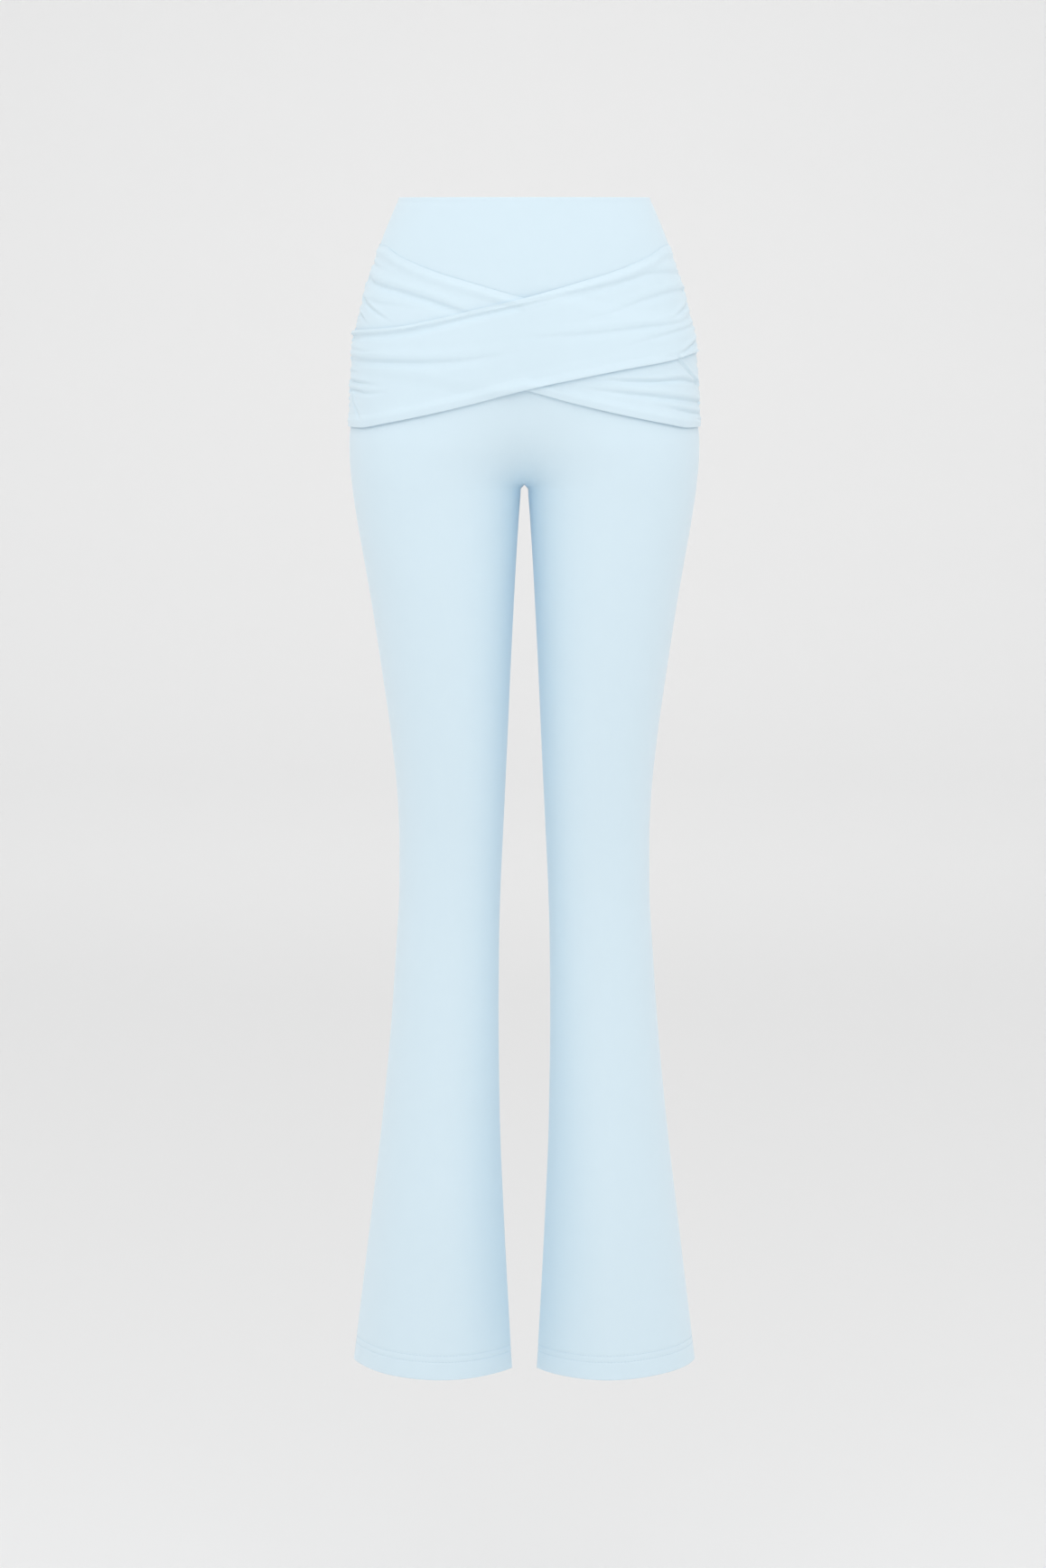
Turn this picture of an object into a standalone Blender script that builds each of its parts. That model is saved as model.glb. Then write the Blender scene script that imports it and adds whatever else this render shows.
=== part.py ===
"""Flared leggings with a crossed, gathered overskirt, hollow and in the shape they are worn in.

The origin is the middle of the waist opening, level with the waist edge. +Z is up, the front faces -Y,
and +X is the wearer's left. A "drop" is the distance down from the waist edge, so z is minus the drop.

The cloth is worked out in two steps. SECTIONS gives the leggings' outer face as level sections, which
part into two legs at the crotch. Every piece is then a closed wall on that face, or moved out from it:
a waistband in two halves, two legs of two panels each, and an overskirt of two crossed bands and a back
panel. The front is one piece of cloth over both legs. Here it parts at the middle plane, as the back does.
"""

import functools
import math
from collections import namedtuple

import bmesh
import bpy
from mathutils import Vector

# Cloth, in metres
JERSEY = 0.0012  # one layer of the leggings' cloth
WAISTBAND_WALL = 0.0024  # two layers, folded over at the waist edge
HEM_WALL = 0.0024  # the turned hem is two layers
SEAM_GAP = 0.0003  # between pieces that are sewn together or lie on each other
FOLD_ROUND = 0.0007  # how far the waist edge rounds in

# Heights, as drops from the waist edge
LEVEL_ROW = 0.150  # above this the panels' rows follow the waistband's seam, below it they are level
CROTCH = 0.267
HEM_OUTER = 1.093  # at the side seam
HEM_SLANT = 0.009  # the hem is this much lower at the inseam
HEM_DEPTH = 0.0195  # from the hem's edge to its stitching
FLARE_START = 0.880  # the hem's slant begins to show in the rows from here

# The torso parts into two legs between this drop and the crotch. The middle seam keeps its depth the
# longer, and turns under the more tightly, the higher its power.
PARTING_START = 0.060
FRONT_SEAM_POWER = 3
BACK_SEAM_POWER = 4
ARCH_HALF_WIDTH = 0.0034  # of the gap between the legs, just under the crotch

# The flare hangs flatter towards its seams, as two panels that meet there at an angle. These are added to
# the power that rounds its oval, at the hem, and fade to nothing at the knee.
HANG_START = 0.640
SIDE_SEAM_HANG = 0.35
INSEAM_HANG = 0.90

FRONT, BACK = -1, 1
LEFT, RIGHT = 1, -1  # the wearer's

Section = namedtuple("Section", "drop outer inner front back")
SECTIONS = [  # outer and inner are distances from the middle plane, front and back from the side seams' plane
    Section(0.000, 0.1160, 0.0000, 0.087, 0.091),
    Section(0.043, 0.1334, 0.0000, 0.093, 0.103),
    Section(0.080, 0.1442, 0.0000, 0.097, 0.114),
    Section(0.130, 0.1560, 0.0000, 0.101, 0.123),
    Section(0.170, 0.1597, 0.0000, 0.102, 0.128),
    Section(0.207, 0.1612, 0.0000, 0.102, 0.129),
    Section(0.226, 0.1628, 0.0000, 0.102, 0.128),
    Section(0.240, 0.1626, ARCH_HALF_WIDTH, 0.101, 0.126),
    Section(CROTCH, 0.1604, ARCH_HALF_WIDTH, 0.099, 0.120),
    Section(0.300, 0.1557, 0.0054, 0.097, 0.111),
    Section(0.340, 0.1488, 0.0079, 0.095, 0.103),
    Section(0.380, 0.1420, 0.0100, 0.092, 0.096),
    Section(0.440, 0.1330, 0.0130, 0.086, 0.086),
    Section(0.500, 0.1246, 0.0156, 0.079, 0.078),
    Section(0.560, 0.1186, 0.0184, 0.071, 0.069),
    Section(0.600, 0.1171, 0.0203, 0.066, 0.063),
    Section(0.646, 0.1173, 0.0224, 0.063, 0.059),
    Section(0.694, 0.1199, 0.0237, 0.062, 0.060),
    Section(0.765, 0.1246, 0.0242, 0.063, 0.065),
    Section(0.862, 0.1336, 0.0230, 0.068, 0.073),
    Section(0.951, 0.1440, 0.0195, 0.075, 0.080),
    Section(1.093, 0.1612, 0.0120, 0.081, 0.085),
    Section(1.105, 0.1627, 0.0113, 0.082, 0.086),
]

SECTION_AT_CROTCH = next(section for section in SECTIONS if section.drop == CROTCH)

# The two crossed bands are one shape and its mirror image. Each runs from a high end in one side seam to
# a low end in the other. "Along" is 0 at the high end and 1 at the low one, measured along the cloth.
BandEdge = namedtuple("BandEdge", "along top bottom")
BAND_EDGES = [
    BandEdge(0.00, 0.0435, 0.1430),
    BandEdge(0.08, 0.0455, 0.1450),
    BandEdge(0.16, 0.0545, 0.1500),
    BandEdge(0.28, 0.0685, 0.1572),
    BandEdge(0.38, 0.0790, 0.1650),
    BandEdge(0.50, 0.0920, 0.1755),
    BandEdge(0.61, 0.1025, 0.1885),
    BandEdge(0.72, 0.1137, 0.2003),
    BandEdge(0.80, 0.1195, 0.2072),
    BandEdge(0.88, 0.1218, 0.2120),
    BandEdge(1.00, 0.1240, 0.2125),
]

# The over band's top edge is rolled: a soft ridge down to a crease. It is wide at the high end.
RollWidth = namedtuple("RollWidth", "along width")
ROLL_WIDTHS = [
    RollWidth(0.00, 0.0200),
    RollWidth(0.16, 0.0150),
    RollWidth(0.30, 0.0105),
    RollWidth(0.45, 0.0065),
    RollWidth(0.60, 0.0050),
    RollWidth(1.00, 0.0045),
]
ROLL_HEIGHT = 0.0030

# The overskirt's back panel, from one side seam to the other
BACK_EDGES = [
    BandEdge(0.00, 0.0435, 0.2125),
    BandEdge(0.25, 0.0510, 0.2170),
    BandEdge(0.50, 0.0550, 0.2200),
    BandEdge(0.75, 0.0510, 0.2170),
    BandEdge(1.00, 0.0435, 0.2125),
]

TOP_LAP = 0.004  # the overskirt's top edge covers the waistband's seam by this much

# Gathers run in from the side seams. Each is a soft ridge with a short, steep lower face.
# "seam" is the drop at the side seam, "tip" the drop at the inner end, "reach" the length as a share of the band.
Gather = namedtuple("Gather", "seam tip reach height width")
UNDER_HIGH_GATHERS = [
    Gather(0.0690, 0.1030, 0.40, 0.0030, 0.010),
    Gather(0.0865, 0.1125, 0.19, 0.0026, 0.007),
    Gather(0.0900, 0.0990, 0.27, 0.0014, 0.008),
    Gather(0.0990, 0.1160, 0.11, 0.0018, 0.006),
]
UNDER_LOW_GATHERS = [
    Gather(0.1760, 0.1500, 0.14, 0.0022, 0.006),
    Gather(0.1690, 0.1615, 0.40, 0.0028, 0.008),
    Gather(0.1875, 0.1715, 0.39, 0.0028, 0.009),
    Gather(0.1990, 0.1890, 0.21, 0.0022, 0.007),
]
OVER_HIGH_GATHERS = [
    Gather(0.0770, 0.1090, 0.40, 0.0022, 0.012),
    Gather(0.0930, 0.1100, 0.15, 0.0020, 0.006),
    Gather(0.1080, 0.1245, 0.55, 0.0020, 0.012),
    Gather(0.1130, 0.1350, 0.31, 0.0018, 0.010),
    Gather(0.1260, 0.1445, 0.23, 0.0020, 0.008),
]
OVER_LOW_GATHERS = [
    Gather(0.1470, 0.1405, 0.48, 0.0028, 0.011),
    Gather(0.1665, 0.1695, 0.17, 0.0022, 0.006),
    Gather(0.1745, 0.1755, 0.23, 0.0022, 0.008),
    Gather(0.1830, 0.2050, 0.12, 0.0020, 0.008),
]
BACK_GATHERS = [
    Gather(0.0680, 0.0780, 0.30, 0.0024, 0.009),
    Gather(0.0860, 0.0960, 0.16, 0.0022, 0.008),
    Gather(0.1060, 0.1180, 0.38, 0.0028, 0.011),
    Gather(0.1260, 0.1330, 0.14, 0.0022, 0.008),
    Gather(0.1460, 0.1560, 0.34, 0.0028, 0.011),
    Gather(0.1680, 0.1720, 0.18, 0.0024, 0.009),
    Gather(0.1880, 0.1960, 0.28, 0.0024, 0.010),
]
STEEP_SHARE = 0.45  # the lower face of a gather is this much of its upper width
EASE = 0.0005  # the overskirt lies this much looser away from the side seams
HEM_STAND = 0.0016  # how far an overskirt hem stands off the leg in the middle of its length

# Mesh fineness
SECTION_POINTS = 72
PANEL_COLUMNS = 13
WAISTBAND_ROWS = 3
BAND_COLUMNS, BAND_ROWS = 38, 17
BACK_COLUMNS, BACK_ROWS = 30, 13

ICE_BLUE = (0.70, 0.84, 0.93, 1.0)


def smooth_step(low, high, value):
    share = min(max((value - low) / (high - low), 0.0), 1.0)
    return share * share * (3 - 2 * share)


def read_between(rows, key, column, value):
    """A column of a table at any value of its key, on a smooth curve that passes no row's number."""
    keys = [getattr(row, key) for row in rows]
    numbers = [getattr(row, column) for row in rows]
    value = min(max(value, keys[0]), keys[-1])
    slopes = [(b - a) / (q - p) for a, b, p, q in zip(numbers, numbers[1:], keys, keys[1:])]

    def tangent(i):
        if i == 0 or i == len(keys) - 1:
            return slopes[min(i, len(slopes) - 1)]
        before, after = slopes[i - 1], slopes[i]
        return 2 * before * after / (before + after) if before * after > 0 else 0.0

    i = next(n for n in range(len(slopes)) if value <= keys[n + 1])
    step = keys[i + 1] - keys[i]
    t = (value - keys[i]) / step
    rise = numbers[i + 1] - numbers[i]
    start, end = tangent(i) * step, tangent(i + 1) * step
    return numbers[i] + t * start + t * t * (3 * rise - 2 * start - end) + t**3 * (start + end - 2 * rise)


# ---- The leggings' outer face ----


@functools.lru_cache(maxsize=None)
def half_section(half, drop):
    """The face at one drop, on the wearer's left: points from the side seam to the middle or the inseam,
    and the running length at each. Above the crotch it is the half of two joined ovals, spanned across
    the middle, and below it is half of one leg's oval."""
    outer = read_between(SECTIONS, "drop", "outer", drop)
    inner = read_between(SECTIONS, "drop", "inner", drop)
    depth = read_between(SECTIONS, "drop", "front" if half == FRONT else "back", drop)
    if drop <= CROTCH:
        share = max((drop - PARTING_START) / (CROTCH - PARTING_START), 0.0)
        widest = SECTION_AT_CROTCH.outer
        parted = (widest + ARCH_HALF_WIDTH) / (widest - ARCH_HALF_WIDTH)
        parting = parted * smooth_step(0.0, 1.0, share)
        radius = outer / (1 + parting)
        centre = parting * radius
        span = radius * (parting - share ** (FRONT_SEAM_POWER if half == FRONT else BACK_SEAM_POWER))
    else:
        radius, centre, span = (outer - inner) / 2, (outer + inner) / 2, 0.0
    last_turn = math.acos(max((span - centre) / radius, -1.0))
    hang = smooth_step(HANG_START, HEM_OUTER, drop)
    points, lengths = [], [0.0]
    for i in range(SECTION_POINTS + 1):
        turn = last_turn * (1 - math.cos(math.pi * i / SECTION_POINTS)) / 2
        out = centre + radius * math.cos(turn)
        x = math.sqrt(max(out * out - span * span, 0.0) / (1 - (span / outer) ** 2))
        power = 1 + hang * (SIDE_SEAM_HANG + (INSEAM_HANG - SIDE_SEAM_HANG) * turn / math.pi)
        points.append(Vector((x, half * depth * max(math.sin(turn), 0.0) ** power, -drop)))
        if i:
            lengths.append(lengths[-1] + (points[-1] - points[-2]).length)
    return points, lengths


def on_section(half, across, drop):
    """(point, direction) on the wearer's left, with across 0 at the side seam and 1 at the section's end."""
    points, lengths = half_section(half, round(drop, 7))
    target = min(max(across, 0.0), 1.0) * lengths[-1]
    i = next((n for n in range(1, len(lengths)) if lengths[n] >= target), len(lengths) - 1)
    step = points[i] - points[i - 1]
    share = (target - lengths[i - 1]) / (lengths[i] - lengths[i - 1])
    return points[i - 1] + step * share, step.normalized()


def face_point(side, half, across, drop, out=0.0):
    """A point on the leggings' outer face, moved out along the face's normal."""
    nudge = 0.0008
    point, level = on_section(half, across, drop)
    below = on_section(half, across, drop + nudge)[0] - on_section(half, across, drop - nudge)[0]
    normal = level.cross(below).normalized() * -half
    moved = point + normal * out
    return Vector((side * moved.x, moved.y, moved.z))


def round_point(half, turn, drop, out=0.0):
    """The same, with turn 0 at the wearer's left side seam and 1 at the right one."""
    if turn <= 0.5:
        return face_point(LEFT, half, 2 * turn, drop, out)
    return face_point(RIGHT, half, 2 * (1 - turn), drop, out)


def clear_of_side_seam(point, half):
    return Vector((point.x, half * max(half * point.y, SEAM_GAP / 2), point.z))


def clear_of_middle(point, side):
    return Vector((side * max(side * point.x, SEAM_GAP / 2), point.y, point.z))


# ---- Walls and materials ----


def cloth_material(name, colour):
    material = bpy.data.materials.new(name)
    material.use_nodes = True
    shader = material.node_tree.nodes["Principled BSDF"]
    shader.inputs["Base Color"].default_value = colour
    shader.inputs["Roughness"].default_value = 0.85
    shader.inputs["Metallic"].default_value = 0.0
    material.diffuse_color = colour
    return material


def add_wall(name, outer, inner, material):
    """One closed wall between an outer and an inner grid of points, each a list of rows."""
    sheet = bmesh.new()
    faces_of = [[[sheet.verts.new(point) for point in row] for row in grid] for grid in (outer, inner)]
    last_row, last_column = len(outer) - 1, len(outer[0]) - 1
    for grid in faces_of:
        for r in range(last_row):
            for c in range(last_column):
                sheet.faces.new((grid[r][c], grid[r][c + 1], grid[r + 1][c + 1], grid[r + 1][c]))
    rim = [(0, c) for c in range(last_column)] + [(r, last_column) for r in range(last_row)]
    rim += [(last_row, c) for c in range(last_column, 0, -1)] + [(r, 0) for r in range(last_row, 0, -1)]
    for (r, c), (next_r, next_c) in zip(rim, rim[1:] + rim[:1]):
        over, under = faces_of
        sheet.faces.new((over[r][c], over[next_r][next_c], under[next_r][next_c], under[r][c]))
    bmesh.ops.recalc_face_normals(sheet, faces=sheet.faces)
    mesh = bpy.data.meshes.new(name)
    sheet.to_mesh(mesh)
    sheet.free()
    mesh.shade_smooth()
    mesh.set_sharp_from_angle(angle=math.radians(50))
    mesh.materials.append(material)
    piece = bpy.data.objects.new(name, mesh)
    bpy.context.scene.collection.objects.link(piece)
    return piece


# ---- Waistband and leg panels ----


def front_seam_drop(turn):
    """Where the waistband's front is sewn to the legs: a shallow V under the bands' top edges."""
    return read_between(BAND_EDGES, "along", "top", min(turn, 1 - turn)) + TOP_LAP


def back_seam_drop(turn):
    return read_between(BACK_EDGES, "along", "top", turn) + TOP_LAP


def seam_drop(half, turn):
    return front_seam_drop(turn) if half == FRONT else back_seam_drop(turn)


def add_waistband(name, half, material):
    """Half of the waistband: two layers of cloth, with a rounded fold at the waist edge."""
    rounded_rows = [(0.0, FOLD_ROUND), (FOLD_ROUND, 0.0)]
    outer, inner = [], []
    for fold_drop, fold_in in rounded_rows + [(None, 0.0)] * WAISTBAND_ROWS:
        row = len(outer) - len(rounded_rows) + 1
        outer_row, inner_row = [], []
        for column in range(2 * PANEL_COLUMNS + 1):
            turn = column / (2 * PANEL_COLUMNS)
            drop = fold_drop
            if drop is None:
                drop = seam_drop(half, turn) * row / WAISTBAND_ROWS
            outer_row.append(clear_of_side_seam(round_point(half, turn, drop, -fold_in), half))
            inside = round_point(half, turn, drop, fold_in - WAISTBAND_WALL)
            inner_row.append(clear_of_side_seam(inside, half))
        outer.append(outer_row)
        inner.append(inner_row)
    add_wall(name, outer, inner, material)


def panel_drops():
    """The drops of a leg panel's level rows at the side seam, closest where the crotch curves."""
    curve_rows, leg_rows = 7, 14
    close_rows = [0.003, 0.009, 0.020, 0.038]
    depth = CROTCH - LEVEL_ROW
    drops = [LEVEL_ROW + depth * math.sin(math.pi / 2 * i / curve_rows) for i in range(curve_rows + 1)]
    drops += [CROTCH + below for below in close_rows]
    leg = HEM_OUTER - HEM_DEPTH - drops[-1]
    drops += [drops[-1] + leg * i / leg_rows for i in range(1, leg_rows + 1)]
    return drops


def add_leg_panel(name, side, half, material):
    """The front or the back of one leg, from the waistband's seam to the turned hem."""
    top_rows = 3
    turned = HEM_WALL - JERSEY
    hem_top = HEM_OUTER - HEM_DEPTH
    rows = [(None, r / top_rows, JERSEY) for r in range(top_rows)]
    rows += [(drop, 1.0, JERSEY) for drop in panel_drops()]
    rows += [(hem_top + turned, 1.0, HEM_WALL), (HEM_OUTER, 1.0, HEM_WALL)]
    outer, inner = [], []
    for level, share, thickness in rows:
        outer_row, inner_row = [], []
        for column in range(PANEL_COLUMNS + 1):  # from the wearer's left to the right
            across = column / PANEL_COLUMNS if side == LEFT else 1 - column / PANEL_COLUMNS
            if level is None:
                turn = across / 2 if side == LEFT else 1 - across / 2
                top = seam_drop(half, turn) + SEAM_GAP
                drop = top + (LEVEL_ROW - top) * share
            else:
                drop = level + HEM_SLANT * across * smooth_step(FLARE_START, HEM_OUTER, level)
            for row, out in ((outer_row, 0.0), (inner_row, -thickness)):
                point = face_point(side, half, across, drop, out)
                if across == 1 and drop <= CROTCH:
                    point.x = 0.0  # the rim lies along the middle plane
                row.append(clear_of_middle(clear_of_side_seam(point, half), side))
        outer.append(outer_row)
        inner.append(inner_row)
    add_wall(name, outer, inner, material)


# ---- The overskirt ----


def gather_rise(gathers, from_end, drop):
    """How far the gathers of one end lift the cloth. from_end is 0 at that end's side seam and 1 at the other."""
    rise = 0.0
    for gather in gathers:
        share = from_end / gather.reach
        if share < 1:
            crest = gather.seam + (gather.tip - gather.seam) * share
            above = crest - drop
            width = gather.width if above > 0 else gather.width * STEEP_SHARE
            fade = 1 - smooth_step(0.35, 1.0, share)
            rise = max(rise, gather.height * fade * (1 - smooth_step(0.0, 1.0, abs(above) / width)))
    return rise


def rest_lift(along):
    """How far the overskirt lies off the leggings where it isn't gathered."""
    return SEAM_GAP + EASE * smooth_step(0.0, 0.1, min(along, 1 - along))


def hem_stand(along, down):
    """The free hem stands off the leg, most in the middle of its length."""
    return HEM_STAND * math.sin(math.pi * along) * smooth_step(0.75, 1.0, down)


def under_band_here(turn, drop):
    """1 where the under band lies beneath the over band or close beside it, 0 well away from it."""
    top = read_between(BAND_EDGES, "along", "top", 1 - turn)
    bottom = read_between(BAND_EDGES, "along", "bottom", 1 - turn)
    return smooth_step(-0.018, -0.007, min(drop - top, bottom - drop))


def under_band_shows(turn, drop):
    """1 where the under band is in sight, 0 where the over band covers it or nearly does."""
    top = read_between(BAND_EDGES, "along", "top", turn)
    bottom = read_between(BAND_EDGES, "along", "bottom", turn)
    return smooth_step(0.003, 0.012, max(top - drop, drop - bottom))


def roll_rise(along, drop):
    """The over band's rolled top edge."""
    below_top = drop - read_between(BAND_EDGES, "along", "top", along)
    return ROLL_HEIGHT * (1 - smooth_step(0.5, 1.0, below_top / read_between(ROLL_WIDTHS, "along", "width", along)))


def over_lift(turn, along, down, drop):
    """The over band starts at the wearer's left hip and crosses the under band."""
    gathers = max(gather_rise(OVER_HIGH_GATHERS, along, drop), gather_rise(OVER_LOW_GATHERS, 1 - along, drop))
    rise = max(gathers, roll_rise(along, drop))
    over_under = under_band_here(turn, drop) * (JERSEY + SEAM_GAP)
    return rest_lift(along) + over_under + rise + hem_stand(along, down)


def under_lift(turn, along, down, drop):
    rise = max(gather_rise(UNDER_HIGH_GATHERS, along, drop), gather_rise(UNDER_LOW_GATHERS, 1 - along, drop))
    return rest_lift(along) + under_band_shows(turn, drop) * (rise + hem_stand(along, down))


def back_lift(turn, along, down, drop):
    rise = max(gather_rise(BACK_GATHERS, along, drop), gather_rise(BACK_GATHERS, 1 - along, drop))
    return rest_lift(along) + rise + hem_stand(along, down)


def add_band(name, half, edges, starts_at, lift, columns, rows, material):
    """A gathered piece of the overskirt between its top and bottom edges, moved out from the leggings' face."""
    outer, inner = [], []
    for r in range(rows + 1):
        down = r / rows
        outer_row, inner_row = [], []
        for c in range(columns + 1):
            along = (c / columns + (1 - math.cos(math.pi * c / columns)) / 2) / 2  # closer at the ends
            turn = along if starts_at == LEFT else 1 - along
            top = read_between(edges, "along", "top", along)
            drop = top + (read_between(edges, "along", "bottom", along) - top) * down
            out = lift(turn, along, down, drop)
            inner_row.append(clear_of_side_seam(round_point(half, turn, drop, out), half))
            outer_row.append(clear_of_side_seam(round_point(half, turn, drop, out + JERSEY), half))
        outer.append(outer_row)
        inner.append(inner_row)
    add_wall(name, outer, inner, material)


def build():
    for existing in list(bpy.data.objects):
        bpy.data.objects.remove(existing)
    leggings = cloth_material("leggings_jersey", ICE_BLUE)
    overskirt = cloth_material("overskirt_jersey", ICE_BLUE)
    for half, half_name in ((FRONT, "front"), (BACK, "back")):
        add_waistband(f"waistband_{half_name}", half, leggings)
        for side, side_name in ((LEFT, "left"), (RIGHT, "right")):
            add_leg_panel(f"leg_{half_name}_{side_name}", side, half, leggings)
    add_band("band_under", FRONT, BAND_EDGES, RIGHT, under_lift, BAND_COLUMNS, BAND_ROWS, overskirt)
    add_band("band_over", FRONT, BAND_EDGES, LEFT, over_lift, BAND_COLUMNS, BAND_ROWS, overskirt)
    add_band("overskirt_back", BACK, BACK_EDGES, LEFT, back_lift, BACK_COLUMNS, BACK_ROWS, overskirt)


if __name__ == "__main__":
    build()
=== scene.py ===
# %% [markdown]
# # Flared leggings with a crossed, gathered overskirt
#
# These leggings are cut from one thin, smooth stretch jersey. It is so plain that everything the eye reads
# comes from form: the hang of the flare, the roll of a folded edge, and the gathers that run in from the
# side seams of the overskirt. So most of this lesson is about shaping cloth, and little of it about colour.
#
# First the fixed frame is loaded. Its solids carry the size and the collision. Each cloth piece made below
# takes the place of one or two of them.

# %% Load the frame
import math
from collections import namedtuple

import bmesh
import bpy
import numpy as np
from mathutils import Matrix, Vector


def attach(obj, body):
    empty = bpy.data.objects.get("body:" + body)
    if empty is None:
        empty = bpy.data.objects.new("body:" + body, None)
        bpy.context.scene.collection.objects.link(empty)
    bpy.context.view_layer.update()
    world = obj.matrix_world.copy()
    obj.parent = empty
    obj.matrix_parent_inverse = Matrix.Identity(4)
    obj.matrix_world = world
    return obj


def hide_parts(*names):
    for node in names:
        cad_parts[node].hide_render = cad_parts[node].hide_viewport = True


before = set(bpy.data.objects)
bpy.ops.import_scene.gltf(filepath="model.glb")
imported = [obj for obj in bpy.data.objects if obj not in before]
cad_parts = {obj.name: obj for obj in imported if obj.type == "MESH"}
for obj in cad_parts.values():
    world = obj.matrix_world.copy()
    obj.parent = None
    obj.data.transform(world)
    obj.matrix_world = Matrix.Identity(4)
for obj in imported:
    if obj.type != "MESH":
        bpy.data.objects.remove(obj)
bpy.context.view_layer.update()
print("frame:", ", ".join(sorted(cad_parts)))

# %% [markdown]
# ## The camera
#
# The garment was photographed from the front, from about waist height and far away, with a long lens. The
# camera stands 5.5 m off and looks a little down, so that the waist closes to a line and the hems bow.

# %% Camera
PHOTO_WIDTH, PHOTO_HEIGHT = 1158, 1736
CAMERA_PLACE = Vector((-0.0013, -5.5, 0.0))
CAMERA_TILT = math.radians(5.68)  # down from level
FOCAL_PIXELS = 6534.9  # the focal length, measured in the photo's pixels
SENSOR = 36.0  # mm, along the photo's long side

lens = bpy.data.cameras.new("camera")
lens.sensor_width = SENSOR
lens.lens = FOCAL_PIXELS / PHOTO_HEIGHT * SENSOR
lens.clip_end = 60.0
camera = bpy.data.objects.new("camera", lens)
camera.location = CAMERA_PLACE
camera.rotation_euler = (math.pi / 2 - CAMERA_TILT, 0, 0)
bpy.context.scene.collection.objects.link(camera)
bpy.context.scene.camera = camera
print(f"camera: {lens.lens:.1f} mm lens, {-CAMERA_PLACE.y} m away")

# %% [markdown]
# ## The studio
#
# A photographer's sweep is a floor that curves up into a wall, so that no line shows behind the thing. A
# sweep that is turned full circle does the same from every side, and one spin of a short profile makes it.
#
# The light is as even as the photo's. Most of it comes from a white room all round. Four weak softboxes stand
# round the front, so that folds and edges still read, and a fifth with a narrow beam lights the wall behind.

# %% Floor and light
FLOOR = -1.42  # well below the hems, because the garment is held at the waist
SWEEP_RADIUS, SWEEP_CURVE, SWEEP_HEIGHT = 9.0, 2.5, 4.0
SWEEP_SEGMENTS = 96
SWEEP_STEPS = 8  # along the floor, and again up the curve
PAPER_GREY = (0.83, 0.83, 0.83)
ROOM_LIGHT = 0.968
LIGHT_BOUNCES = 10  # pale cloth passes light on many times between the legs


def make_sweep(material):
    """A round floor that curves up into a wall all round."""
    sweep = bmesh.new()
    steps = range(SWEEP_STEPS + 1)
    profile = [sweep.verts.new((SWEEP_RADIUS * step / SWEEP_STEPS, 0, FLOOR)) for step in steps]
    for step in steps[1:]:
        turn = math.pi / 2 * step / SWEEP_STEPS
        x = SWEEP_RADIUS + SWEEP_CURVE * math.sin(turn)
        profile.append(sweep.verts.new((x, 0, FLOOR + SWEEP_CURVE * (1 - math.cos(turn)))))
    profile.append(sweep.verts.new((SWEEP_RADIUS + SWEEP_CURVE, 0, SWEEP_HEIGHT)))
    edges = [sweep.edges.new(pair) for pair in zip(profile, profile[1:])]
    bmesh.ops.spin(
        sweep, geom=profile + edges, cent=(0, 0, 0), axis=(0, 0, 1), dvec=(0, 0, 0),
        angle=math.tau, steps=SWEEP_SEGMENTS, use_merge=True, use_duplicate=False,
    )
    bmesh.ops.remove_doubles(sweep, verts=sweep.verts, dist=1e-5)
    bmesh.ops.recalc_face_normals(sweep, faces=sweep.faces)
    if sweep.faces[0].normal.z < 0:
        bmesh.ops.reverse_faces(sweep, faces=sweep.faces)
    mesh = bpy.data.meshes.new("studio_sweep")
    sweep.to_mesh(mesh)
    sweep.free()
    mesh.shade_smooth()
    mesh.materials.append(material)
    floor = bpy.data.objects.new("studio_sweep", mesh)
    bpy.context.scene.collection.objects.link(floor)
    return floor


def plain_material(name, colour, roughness):
    material = bpy.data.materials.new(name)
    material.use_nodes = True
    shader = material.node_tree.nodes["Principled BSDF"]
    shader.inputs["Base Color"].default_value = (*colour, 1)
    shader.inputs["Roughness"].default_value = roughness
    return material


def add_softbox(name, place, aim, size, power, spread=180):
    """A square soft light that shines from its place at its aim. spread is its beam, in degrees."""
    light = bpy.data.lights.new(name, "AREA")
    light.shape = "SQUARE"
    light.size = size
    light.energy = power
    light.spread = math.radians(spread)
    box = bpy.data.objects.new(name, light)
    box.location = place
    box.rotation_euler = (Vector(aim) - Vector(place)).to_track_quat("-Z", "Y").to_euler()
    box.visible_camera = False  # its light is wanted, and no picture of it
    bpy.context.scene.collection.objects.link(box)
    return box


make_sweep(plain_material("studio_paper", PAPER_GREY, 0.9))
bpy.context.scene.cycles.diffuse_bounces = LIGHT_BOUNCES
world = bpy.data.worlds.new("studio_air")
bpy.context.scene.world = world
world.use_nodes = True
world.node_tree.nodes["Background"].inputs["Color"].default_value = (1, 1, 1, 1)
world.node_tree.nodes["Background"].inputs["Strength"].default_value = ROOM_LIGHT
bpy.context.scene.view_settings.view_transform = "Standard"
# name, place, aim, size in metres, power in watts
add_softbox("front_softbox", (0.0, -1.9, 1.2), (0, 0, -0.25), 1.2, 5)
add_softbox("fill_softbox", (0.0, -1.9, 0.0), (0, 0, -0.3), 1.0, 3.0)
add_softbox("left_softbox", (2.2, -0.6, 1.0), (0, 0, -0.35), 1.2, 5)
add_softbox("right_softbox", (-2.2, -0.6, 1.0), (0, 0, -0.35), 1.2, 5)
add_softbox("wall_softbox", (0.0, 2.0, 2.6), (0, 11.3, 0.2), 1.5, 17, spread=70)
print("studio: a turned sweep, an even white room, four softboxes round the front and one on the wall behind")

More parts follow.
